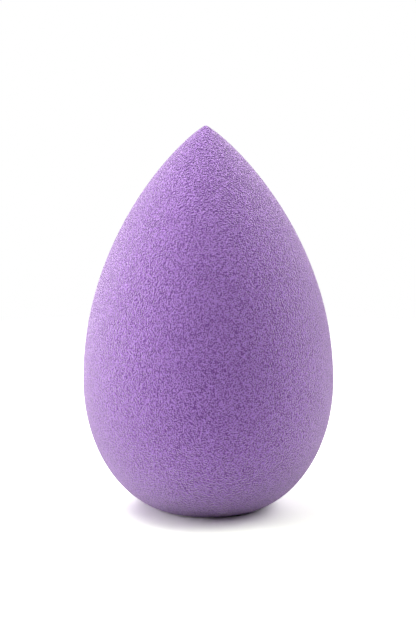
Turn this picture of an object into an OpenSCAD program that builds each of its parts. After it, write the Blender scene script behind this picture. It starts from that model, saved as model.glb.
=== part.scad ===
// Teardrop makeup sponge: one solid piece of soft open-cell foam that stands on its blunt end.
// The origin is the middle of the resting flat, and +Z runs up the axis to the point.
// The outline is turned from two smooth curves that meet at the belly, and a small ball point.

/* [Overall size] */
// Height from the resting flat to the point
height = 61.6; // [50:0.1:75]
// Diameter at the belly, the widest place
belly_d = 40; // [30:0.1:50]
// Height of the belly above the resting flat
belly_z = 20.5; // [14:0.1:27]

/* [Blunt end] */
// Diameter of the flat that the sponge stands on
rest_d = 16.6; // [6:0.1:24]
// Slope at which the underside leaves the resting flat, in degrees above level
underside_slope = 19; // [5:0.5:30]
// How far the underside keeps that slope, as a share of its way out to the belly
underside_share = 0.59; // [0.3:0.01:0.8]
// How far down the flank stays upright below the belly, as a share of the belly's height
flank_share = 0.475; // [0.3:0.005:0.6]

/* [Pointed end] */
// How far up the shoulder stays upright above the belly, as a share of the way to the point
shoulder_share = 0.525; // [0.3:0.005:0.7]
// Slope of the foam beside the point, in degrees below level
point_slope = 33; // [20:0.5:45]
// How far out the nose keeps that slope, as a share of its way out to the belly
nose_share = 0.29; // [0.15:0.01:0.4]
// Radius of the ball that rounds the point
point_r = 0.55; // [0.2:0.05:2]

/* [Hidden] */

// Steps along each curve and round the ball point
curve_steps = 36;
point_steps = 6;
$fn = 128;

belly_r = belly_d / 2;
rest_r = rest_d / 2;

// Where the nose runs into the ball point
point_centre = [0, height - point_r];
point_edge = point_centre + point_r * ray(90 - point_slope);

// The underside and flank: a curve from the edge of the resting flat out and up to the belly
under_run = underside_share * (belly_r - rest_r);
lower_curve = [
    [rest_r, 0],
    [rest_r + under_run, under_run * tan(underside_slope)],
    [belly_r, belly_z - flank_share * belly_z],
    [belly_r, belly_z]
];

// The shoulder and nose: a curve from the belly up and in to the ball point
nose_run = nose_share * (belly_r - point_edge.x);
upper_curve = [
    [belly_r, belly_z],
    [belly_r, belly_z + shoulder_share * (point_edge.y - belly_z)],
    [point_edge.x + nose_run, point_edge.y - nose_run * tan(point_slope)],
    point_edge
];

// Unit step at an angle above level
function ray(angle) = [cos(angle), sin(angle)];

// Point at t, from 0 to 1, on the cubic curve that leaves c[0] towards c[1] and reaches c[3] from c[2]
function on_curve(c, t) =
    (1 - t) ^ 3 * c[0] + 3 * (1 - t) ^ 2 * t * c[1] + 3 * (1 - t) * t ^ 2 * c[2] + t ^ 3 * c[3];

// Half of the outline, from the middle of the resting flat round the belly to the point
outline = concat(
    [[0, 0]],
    [for (i = [0 : curve_steps - 1]) on_curve(lower_curve, i / curve_steps)],
    [for (i = [0 : curve_steps - 1]) on_curve(upper_curve, i / curve_steps)],
    [for (i = [0 : point_steps - 1]) point_centre + point_r * ray(90 - point_slope * (1 - i / point_steps))],
    [[0, height]]
);

// The whole sponge: purple polyurethane foam, the same all the way through, with no core or cover
module foam_body() {
    color("#9871B6") rotate_extrude() polygon(outline);
}

foam_body();
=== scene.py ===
import bisect
import math

import bpy
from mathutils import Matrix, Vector, noise


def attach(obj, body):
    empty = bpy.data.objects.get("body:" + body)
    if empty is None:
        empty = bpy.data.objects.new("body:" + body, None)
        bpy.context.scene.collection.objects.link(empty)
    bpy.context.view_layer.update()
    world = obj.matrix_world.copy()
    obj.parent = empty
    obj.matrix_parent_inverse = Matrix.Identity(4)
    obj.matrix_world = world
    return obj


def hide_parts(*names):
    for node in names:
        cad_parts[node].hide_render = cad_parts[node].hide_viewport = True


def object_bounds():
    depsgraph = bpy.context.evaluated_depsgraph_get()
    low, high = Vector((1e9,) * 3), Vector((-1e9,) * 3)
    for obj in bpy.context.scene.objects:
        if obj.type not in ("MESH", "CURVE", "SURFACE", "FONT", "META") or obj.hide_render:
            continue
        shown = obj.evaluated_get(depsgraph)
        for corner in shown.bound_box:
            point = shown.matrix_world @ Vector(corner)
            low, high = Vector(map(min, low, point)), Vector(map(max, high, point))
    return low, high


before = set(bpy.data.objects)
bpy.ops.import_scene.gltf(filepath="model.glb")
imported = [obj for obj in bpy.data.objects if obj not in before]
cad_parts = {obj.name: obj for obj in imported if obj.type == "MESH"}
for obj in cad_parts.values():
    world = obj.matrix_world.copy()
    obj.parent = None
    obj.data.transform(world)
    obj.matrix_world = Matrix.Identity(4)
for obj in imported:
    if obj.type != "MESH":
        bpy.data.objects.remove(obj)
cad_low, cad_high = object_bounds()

# Camera: a long lens 0.6 m from the sponge and 11 degrees above level, on an upright frame. It aims
# just over the middle of the sponge, so the sponge stands in the frame where the photograph has it.
MM = 0.001
VIEW_DISTANCE = 600 * MM
VIEW_ELEVATION = math.radians(11)
FRAME_HEIGHT = 99.4 * MM          # what the frame spans at the sponge
AIM_RISE = 0.81 * MM              # how far the aim lies above the sponge's middle
AIM_LEFT = 0.09 * MM              # and to its left
NEAREST = 10 * MM                 # the camera sees from here
FARTHEST = 20000 * MM             # to here
SENSOR_HEIGHT = 36.0              # as Blender gives it, in mm

sponge_height = cad_high.z - cad_low.z
aim = Vector((-AIM_LEFT, 0, sponge_height / 2 + AIM_RISE))
to_camera = Vector((0, -math.cos(VIEW_ELEVATION), math.sin(VIEW_ELEVATION)))

camera_data = bpy.data.cameras.new("camera")
camera_data.sensor_fit = "VERTICAL"
camera_data.sensor_height = SENSOR_HEIGHT
camera_data.lens = SENSOR_HEIGHT * VIEW_DISTANCE / FRAME_HEIGHT
camera_data.clip_start = NEAREST
camera_data.clip_end = FARTHEST
camera = bpy.data.objects.new("camera", camera_data)
camera.location = aim + to_camera * VIEW_DISTANCE
camera.rotation_euler = to_camera.to_track_quat("Z", "Y").to_euler()
bpy.context.scene.collection.objects.link(camera)
bpy.context.scene.camera = camera

# Foam body: one piece of dry open-cell polyurethane foam, cut from a block and ground to a teardrop,
# so its surface is cut cells all over. It stands by its own weight on the flat at its blunt end.
BELLY_HEIGHT = 20.5 * MM
REST_RADIUS = 8.3 * MM
UNDERSIDE_SLOPE = math.radians(19)
UNDERSIDE_SHARE = 0.59            # how far out the underside keeps that slope
FLANK_SHARE = 0.475               # how far below the belly the flank stays upright
SHOULDER_SHARE = 0.525            # how far above the belly the shoulder stays upright
POINT_SLOPE = math.radians(33)
NOSE_SHARE = 0.29                 # how far out the nose keeps that slope
POINT_RADIUS = 0.55 * MM
CURVE_STEPS = 400
POINT_STEPS = 40

belly_radius = (cad_high.x - cad_low.x) / 2


def on_curve(ends, t):
    """Point at t on the cubic curve through the first and the last of four points."""
    a, b, c, d = ends
    return a * (1 - t) ** 3 + b * 3 * t * (1 - t) ** 2 + c * 3 * t ** 2 * (1 - t) + d * t ** 3


def half_outline():
    """Radius and height of points from the middle of the resting flat to the sponge's point."""
    point_centre = Vector((0, sponge_height - POINT_RADIUS))
    towards_edge = Vector((math.sin(POINT_SLOPE), math.cos(POINT_SLOPE)))
    point_edge = point_centre + POINT_RADIUS * towards_edge
    under_run = UNDERSIDE_SHARE * (belly_radius - REST_RADIUS)
    nose_run = NOSE_SHARE * (belly_radius - point_edge.x)
    belly = Vector((belly_radius, BELLY_HEIGHT))
    lower_curve = (
        Vector((REST_RADIUS, 0)),
        Vector((REST_RADIUS + under_run, under_run * math.tan(UNDERSIDE_SLOPE))),
        Vector((belly_radius, BELLY_HEIGHT * (1 - FLANK_SHARE))),
        belly,
    )
    upper_curve = (
        belly,
        Vector((belly_radius, BELLY_HEIGHT + SHOULDER_SHARE * (point_edge.y - BELLY_HEIGHT))),
        Vector((point_edge.x + nose_run, point_edge.y - nose_run * math.tan(POINT_SLOPE))),
        point_edge,
    )
    points = [Vector((0, 0))]
    for curve in (lower_curve, upper_curve):
        points += [on_curve(curve, i / CURVE_STEPS) for i in range(CURVE_STEPS)]
    for i in range(POINT_STEPS + 1):
        tilt = POINT_SLOPE * (1 - i / POINT_STEPS)
        points.append(point_centre + POINT_RADIUS * Vector((math.sin(tilt), math.cos(tilt))))
    return points


outline = half_outline()
run = [0.0]
for before, after in zip(outline, outline[1:]):
    run.append(run[-1] + (after - before).length)


def on_outline(share):
    """Radius and height at a share of the way along the outline, from the flat to the point."""
    at = share * run[-1]
    i = min(max(bisect.bisect_right(run, at) - 1, 0), len(run) - 2)
    return outline[i].lerp(outline[i + 1], (at - run[i]) / (run[i + 1] - run[i]))


# The sponge is wrapped from the six faces of a block, each a grid, so that its quads stay even and
# its texture unwraps on six squares.
GRID = 126                        # quads along each edge of the block
HALF_FACE = math.radians(45)      # from the middle of a face of the block to its edge
SQUARES_ACROSS = 3                # squares of the unwrapped texture
SQUARES_UP = 2
SQUARE_MARGIN = 0.01              # kept free round each square
BLOCK_FACES = (                   # outward, along and up
    ((1, 0, 0), (0, 1, 0), (0, 0, 1)),
    ((-1, 0, 0), (0, -1, 0), (0, 0, 1)),
    ((0, 1, 0), (-1, 0, 0), (0, 0, 1)),
    ((0, -1, 0), (1, 0, 0), (0, 0, 1)),
    ((0, 0, 1), (1, 0, 0), (0, 1, 0)),
    ((0, 0, -1), (-1, 0, 0), (0, 1, 0)),
)


def wrapped(key):
    """Place on the sponge of a grid point of the block."""
    x, y, z = (math.tan(HALF_FACE * k / GRID) for k in key)
    around = math.atan2(y, x)
    from_top = math.atan2(math.hypot(x, y), z)
    at = on_outline(1 - from_top / math.pi)
    return at.x * math.cos(around), at.x * math.sin(around), at.y


def wrapped_block():
    """Points, quads and texture corners of the block wrapped on to the sponge's outline."""
    index, places, quads, corners = {}, [], [], []
    for number, (out, along, up) in enumerate(BLOCK_FACES):
        row, column = divmod(number, SQUARES_ACROSS)
        grid = {}
        for i in range(GRID + 1):
            for j in range(GRID + 1):
                right, high = 2 * i - GRID, 2 * j - GRID
                key = tuple(o * GRID + a * right + u * high for o, a, u in zip(out, along, up))
                if key not in index:
                    index[key] = len(places)
                    places.append(wrapped(key))
                grid[i, j] = index[key]
        for i in range(GRID):
            for j in range(GRID):
                for di, dj in ((0, 0), (1, 0), (1, 1), (0, 1)):
                    u = SQUARE_MARGIN + (1 - 2 * SQUARE_MARGIN) * (i + di) / GRID
                    v = SQUARE_MARGIN + (1 - 2 * SQUARE_MARGIN) * (j + dj) / GRID
                    corners.append(((column + u) / SQUARES_ACROSS, (row + v) / SQUARES_UP))
                quads.append((grid[i, j], grid[i + 1, j], grid[i + 1, j + 1], grid[i, j + 1]))
    return places, quads, corners


places, quads, corners = wrapped_block()
foam_mesh = bpy.data.meshes.new("foam")
foam_mesh.from_pydata(places, [], quads)
texture_map = foam_mesh.uv_layers.new(name="OFBake")
texture_map.data.foreach_set("uv", [c for corner in corners for c in corner])
for quad in foam_mesh.polygons:
    quad.use_smooth = True
foam_mesh.update()
foam = bpy.data.objects.new("foam", foam_mesh)
bpy.context.scene.collection.objects.link(foam)

# Cut cells dent the surface by a few hundredths of a millimetre, and the soft nose leans a little.
CELL = 0.85 * MM                  # between the middles of neighbouring dents
DENT = 0.04 * MM
DENT_REACH = 0.75                 # of a cell, from its middle to where its dent ends
SHALLOWEST = 0.5                  # of the deepest dent's depth
DEPTH_SHIFT = Vector((3, 7, 1))   # cells, so that the depths don't follow the dents' places
LEAN = 0.46 * MM                  # how far the point stands to the left of the middle
LEAN_POWER = 2.4                  # above 1, so that the lean is mostly near the point

outward = [vertex.normal.copy() for vertex in foam_mesh.vertices]
for vertex, away in zip(foam_mesh.vertices, outward):
    in_cells = vertex.co / CELL
    nearest = noise.voronoi(in_cells)[0][0]
    deepest = SHALLOWEST + (1 - SHALLOWEST) * noise.cell(in_cells + DEPTH_SHIFT)
    depth = max(1 - nearest / DENT_REACH, 0) * deepest
    vertex.co -= away * depth * DENT
    vertex.co.x -= LEAN * (vertex.co.z / sponge_height) ** LEAN_POWER
    vertex.co.z = max(vertex.co.z, 0)
foam_mesh.update()


def linear(text):
    """Linear colour of an sRGB hex value."""
    parts = [int(text[i:i + 2], 16) / 255 for i in (1, 3, 5)]
    return [c / 12.92 if c <= 0.04045 else ((c + 0.055) / 1.055) ** 2.4 for c in parts] + [1]


def add(tree, kind, inputs=(), **settings):
    """Adds a node with its settings, and its inputs as values or as sockets to link."""
    node = tree.nodes.new(kind)
    for name, value in settings.items():
        setattr(node, name, value)
    for key, value in dict(inputs).items():
        if isinstance(value, bpy.types.NodeSocket):
            tree.links.new(value, node.inputs[key])
        else:
            node.inputs[key].default_value = value
    return node


# Open-cell polyurethane foam: gives the eye fine worm-like ridges with pits between them, and
# rims that turn pale where the fuzz of cut cells is seen edge on. Its colour has painted shade in
# the pits and a painted highlight on the ridges.
PORE = 0.38                       # mm between the middles of neighbouring pores
PIT = 0.1                         # of a pore, from its middle to the edge of its flat pit
WALL = 0.5                        # of a pore, from its middle to the top of its wall
WANDER = 2 / 3                    # mm, length of the waves that draw the pores out of line
WANDER_SHIFT = 0.5                # mm
STRUT = 0.22                      # mm, lattice of the struts between the pores
STRUT_LOW, STRUT_HIGH = 0.25, 0.75     # of the noise, from the foot to the top of a strut
STRUT_SHARE = 0.85                # of the relief, the rest being pores
RIDGE = 0.22 * MM                 # height of the ridges over the pits
TONE_LOW, TONE_HIGH = 0.25, 0.75  # of that height, from the painted shade in the pits to the painted highlight on the ridges
PIT_SHADE_FOAM = "#824DA9"             # painted shade in the pits
RIDGE_HIGHLIGHT_FOAM = "#C18EE8"             # painted highlight on the ridges
FUZZ = "#FFF0FF"                  # cut cells seen edge on

foam_material = bpy.data.materials.new("open_cell_foam")
foam_material.use_nodes = True
tree = foam_material.node_tree
where = add(tree, "ShaderNodeTexCoord")
in_mm = add(
    tree, "ShaderNodeVectorMath",
    {0: where.outputs["Object"], 1: [1 / MM] * 3},
    operation="MULTIPLY",
)
wander = add(
    tree, "ShaderNodeTexNoise", {"Vector": in_mm.outputs[0], "Scale": 1 / WANDER, "Detail": 0.0}
)
shifted = add(
    tree, "ShaderNodeVectorMath",
    {0: wander.outputs["Color"], 1: [WANDER_SHIFT] * 3, 2: in_mm.outputs[0]},
    operation="MULTIPLY_ADD",
)
pores = add(tree, "ShaderNodeTexVoronoi", {"Vector": shifted.outputs[0], "Scale": 1 / PORE})
pore_wall = add(
    tree, "ShaderNodeMapRange",
    {"Value": pores.outputs["Distance"], "From Min": PIT, "From Max": WALL},
    interpolation_type="SMOOTHSTEP",
)
struts = add(
    tree, "ShaderNodeTexNoise", {"Vector": in_mm.outputs[0], "Scale": 1 / STRUT, "Detail": 0.0}
)
strut = add(
    tree, "ShaderNodeMapRange",
    {"Value": struts.outputs["Fac"], "From Min": STRUT_LOW, "From Max": STRUT_HIGH},
)
height = add(
    tree, "ShaderNodeMix",
    {"Factor": STRUT_SHARE, "A": pore_wall.outputs[0], "B": strut.outputs[0]},
)
bump = add(tree, "ShaderNodeBump", {"Height": height.outputs[0], "Distance": RIDGE})
# The base colour follows the height: painted shade in the pits, a paler painted highlight on the
# ridges.
painted_shade_tone = add(
    tree, "ShaderNodeMapRange",
    {"Value": height.outputs[0], "From Min": TONE_LOW, "From Max": TONE_HIGH},
)
colour = add(
    tree, "ShaderNodeMix",
    {"Factor": painted_shade_tone.outputs[0], "A": linear(PIT_SHADE_FOAM), "B": linear(RIDGE_HIGHLIGHT_FOAM)},
    data_type="RGBA",
)
shader = tree.nodes["Principled BSDF"]
tree.links.new(colour.outputs["Result"], shader.inputs["Base Color"])
tree.links.new(bump.outputs[0], shader.inputs["Normal"])
shader.inputs["Roughness"].default_value = 0.95
shader.inputs["Specular IOR Level"].default_value = 0.1
shader.inputs["Sheen Weight"].default_value = 1.0
shader.inputs["Sheen Roughness"].default_value = 0.5
shader.inputs["Sheen Tint"].default_value = linear(FUZZ)
foam_mesh.materials.append(foam_material)

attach(foam, "root")
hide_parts("foam_body")

# Floor: a sheet of white paper that the sponge stands on. It keeps the sponge's shadow, and further
# out it is plain white to the camera, as a lit studio sweep is.
FLOOR_REACH = 3000 * MM           # from the sponge to each edge
PAPER = "#E1E1E1"
PAPER_TO_CAMERA = "#F9FFF0"       # warm against the purple light off the foam
OVEREXPOSED = 1.593               # times that colour, as white paper is in a bright photograph
WHITE = "#FFFFFF"
WHITE_FROM = 80 * MM              # from the sponge's axis to where plain white starts to show
WHITE_TO = 160 * MM               # and to where nothing else shows

floor_mesh = bpy.data.meshes.new("floor")
floor_mesh.from_pydata(
    [(x * FLOOR_REACH, y * FLOOR_REACH, 0) for x, y in ((-1, -1), (1, -1), (1, 1), (-1, 1))],
    [], [(0, 1, 2, 3)],
)
floor = bpy.data.objects.new("floor", floor_mesh)
bpy.context.scene.collection.objects.link(floor)
floor_material = bpy.data.materials.new("white_paper")
floor_material.use_nodes = True
tree = floor_material.node_tree
tree.nodes.clear()
ray = add(tree, "ShaderNodeLightPath")
seen_paper = [OVEREXPOSED * part for part in linear(PAPER_TO_CAMERA)]
colour = add(
    tree, "ShaderNodeMix",
    {"Factor": ray.outputs["Is Camera Ray"], "A": linear(PAPER), "B": seen_paper},
    data_type="RGBA",
)
paper = add(tree, "ShaderNodeBsdfDiffuse", {"Color": colour.outputs["Result"]})
white = add(tree, "ShaderNodeEmission", {"Color": linear(WHITE), "Strength": 1.0})
where = add(tree, "ShaderNodeTexCoord")
reach = add(tree, "ShaderNodeVectorMath", {0: where.outputs["Object"]}, operation="LENGTH")
far = add(
    tree, "ShaderNodeMapRange",
    {"Value": reach.outputs["Value"], "From Min": WHITE_FROM, "From Max": WHITE_TO},
)
far_to_camera = add(
    tree, "ShaderNodeMath",
    {0: far.outputs[0], 1: ray.outputs["Is Camera Ray"]},
    operation="MULTIPLY",
)
mixed = add(
    tree, "ShaderNodeMixShader",
    {0: far_to_camera.outputs[0], 1: paper.outputs[0], 2: white.outputs[0]},
)
add(tree, "ShaderNodeOutputMaterial", {"Surface": mixed.outputs[0]})
floor_mesh.materials.append(floor_material)

# Lamps: square softboxes low and high to the left, to the right and behind, and a weak one overhead,
# with none in front. Level 1 makes a white surface that faces the lamp render white.
LAMP_DISTANCE = 600 * MM
LAMP_SIDE = 400 * MM
LAMPS = (                         # name, azimuth and elevation in degrees, level
    ("front_left_softbox", -70, 15, 0.24),
    ("left_softbox", -90, 18, 0.42),
    ("high_left_softbox", -90, 60, 0.38),
    ("top_softbox", 0, 85, 0.12),
    ("right_softbox", 105, 32, 0.56),
    ("back_right_softbox", 125, 45, 0.34),
    ("back_left_softbox", -135, 65, 0.86),
    ("back_softbox", 180, 20, 0.17),
)
for name, azimuth, elevation, level in LAMPS:
    lamp_data = bpy.data.lights.new(name, "AREA")
    lamp_data.shape = "SQUARE"
    lamp_data.size = LAMP_SIDE
    lamp_data.energy = level * math.pi ** 2 * LAMP_DISTANCE ** 2
    lamp = bpy.data.objects.new(name, lamp_data)
    around, up = math.radians(azimuth), math.radians(elevation)
    out = math.cos(up)
    to_lamp = Vector((math.sin(around) * out, -math.cos(around) * out, math.sin(up)))
    lamp.location = Vector((0, 0, sponge_height / 2)) + to_lamp * LAMP_DISTANCE
    lamp.rotation_euler = to_lamp.to_track_quat("Z", "Y").to_euler()
    bpy.context.scene.collection.objects.link(lamp)

# World: the white of the studio beyond the paper. It is there for the camera alone, so it lights
# nothing and the softboxes give all the light.
world = bpy.data.worlds.new("studio")
world.use_nodes = True
tree = world.node_tree
tree.nodes.clear()
ray = add(tree, "ShaderNodeLightPath")
sky = add(
    tree, "ShaderNodeBackground",
    {"Color": linear(WHITE), "Strength": ray.outputs["Is Camera Ray"]},
)
add(tree, "ShaderNodeOutputWorld", {"Surface": sky.outputs[0]})
bpy.context.scene.world = world

bpy.context.scene.view_settings.view_transform = "Standard"
